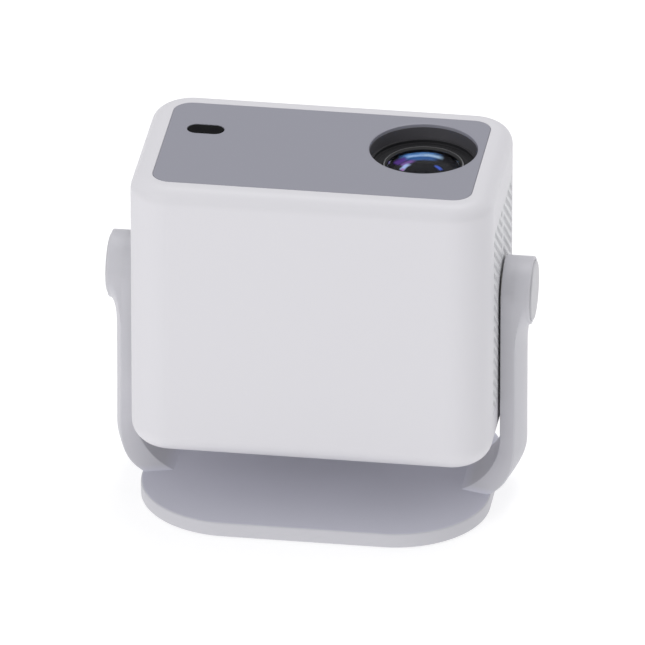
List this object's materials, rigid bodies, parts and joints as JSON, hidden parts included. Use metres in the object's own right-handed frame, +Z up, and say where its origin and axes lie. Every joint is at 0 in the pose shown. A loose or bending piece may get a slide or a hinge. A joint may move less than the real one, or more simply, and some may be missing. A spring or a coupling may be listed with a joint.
{
  "type": "home projector",
  "caption": "Rounded box home projector with a recessed lens and sensor window in its face, tilting between the arms of a U-shaped stand on a rounded plate.",
  "frame": {"origin": "middle of the stand's underside", "axes": "+Z up (the way the lens faces at rest), -Y the side the lens turns to in use, +X right"},
  "size_m": [0.2244, 0.146, 0.1929],
  "materials": {
    "stand_plastic": "fine matt moulded light grey",
    "shell_plastic": "fine matt moulded white",
    "panel_plastic": "smooth matt mid grey",
    "hood_plastic": "dark satin",
    "window_plastic": "gloss black infrared window",
    "grille_plastic": "matt, perforated",
    "steel": "plain",
    "aluminium": "plain",
    "brass": "plain",
    "ring_metal": "bright turned",
    "rubber": "matt",
    "glass": "polished, coated",
    "mirror": "silvered",
    "lcd": "polarised glass",
    "circuit_board": "solder mask",
    "black_plastic": "moulded",
    "nylon": "natural nylon",
    "socket_metal": "plated shell"
  },
  "bodies": {
    "stand": {"stand_frame": "stand_plastic", "base_cover": "black_plastic", "base_weight": "steel", "foot_pad": "rubber", "base_screw_front_left": "steel", "base_screw_front_right": "steel", "base_screw_back_left": "steel", "base_screw_back_right": "steel", "hub_cap_left": "stand_plastic", "hub_cap_right": "stand_plastic", "hinge_pin_left": "steel", "hinge_pin_right": "steel", "friction_washer_left": "black_plastic", "friction_washer_right": "black_plastic"},
    "head": {"housing": "shell_plastic", "rear_cover": "shell_plastic", "lens_panel": "panel_plastic", "lens_hood": "hood_plastic", "sensor_window": "window_plastic", "side_grille_left": "grille_plastic", "side_grille_right": "grille_plastic", "hinge_bracket_left": "steel", "hinge_bracket_right": "steel", "focus_motor": "steel", "rear_screw_front_left": "steel", "rear_screw_front_right": "steel", "rear_screw_back_left": "steel", "rear_screw_back_right": "steel", "led_module": "aluminium", "heat_sink": "aluminium", "heat_spreader": "aluminium", "condenser_lens": "glass", "rear_fresnel": "glass", "heat_glass": "glass", "front_fresnel": "glass", "fold_mirror": "mirror", "lcd_panel": "lcd", "sensor_board": "circuit_board", "button_board": "circuit_board", "main_board": "circuit_board", "power_board": "circuit_board", "speaker_left": "black_plastic", "speaker_right": "black_plastic", "audio_jack": "black_plastic", "power_inlet": "black_plastic", "optical_housing": "black_plastic", "exhaust_fan_frame": "black_plastic", "intake_fan_frame": "black_plastic", "hdmi_socket": "socket_metal", "usb_socket": "socket_metal"},
    "exhaust_fan": {"exhaust_fan_rotor": "black_plastic"},
    "intake_fan": {"intake_fan_rotor": "black_plastic"},
    "power_button": {"power_button": "shell_plastic"},
    "focus_gear": {"focus_gear": "nylon"},
    "focus_pinion": {"focus_pinion": "brass"},
    "lens_group": {"lens_barrel": "hood_plastic", "front_element": "glass", "rear_element": "glass", "retaining_ring": "ring_metal"}
  },
  "joints": [
    {"name": "head_tilt", "type": "hinge", "parent": "stand", "child": "head", "pos_m": [0, 0, 0.1195], "axis": [1, 0, 0], "range_deg": [-90, 90]},
    {"name": "exhaust_fan_spin", "type": "hinge", "parent": "head", "child": "exhaust_fan", "pos_m": [-0.0795, 0.0104, 0.11], "axis": [1, 0, 0], "continuous": true},
    {"name": "intake_fan_spin", "type": "hinge", "parent": "head", "child": "intake_fan", "pos_m": [-0.006, 0.0104, 0.0665], "axis": [0, 0, 1], "continuous": true},
    {"name": "power_button_press", "type": "slide", "parent": "head", "child": "power_button", "axis": [0, -1, 0], "range_m": [0, 0.0006], "stiffness_N_per_m": 1500},
    {"name": "focus_gear_turn", "type": "hinge", "parent": "head", "child": "focus_gear", "pos_m": [0.0518, 0.0104, 0.168], "axis": [0, 0, 1], "range_deg": [-40, 40]},
    {"name": "focus_slide", "type": "slide", "parent": "head", "child": "lens_group", "axis": [0, 0, 1], "range_m": [-0.00235, 0.00235]},
    {"name": "focus_pinion_turn", "type": "hinge", "parent": "head", "child": "focus_pinion", "pos_m": [0.01805, 0.0104, 0.168], "axis": [0, 0, 1], "range_deg": [-231, 231]}
  ],
  "couplings": [
    {"joint": "focus_gear_turn", "follows": "focus_slide", "rad_per_m": 294.12},
    {"joint": "focus_pinion_turn", "follows": "focus_slide", "rad_per_m": -1691.2}
  ]
}
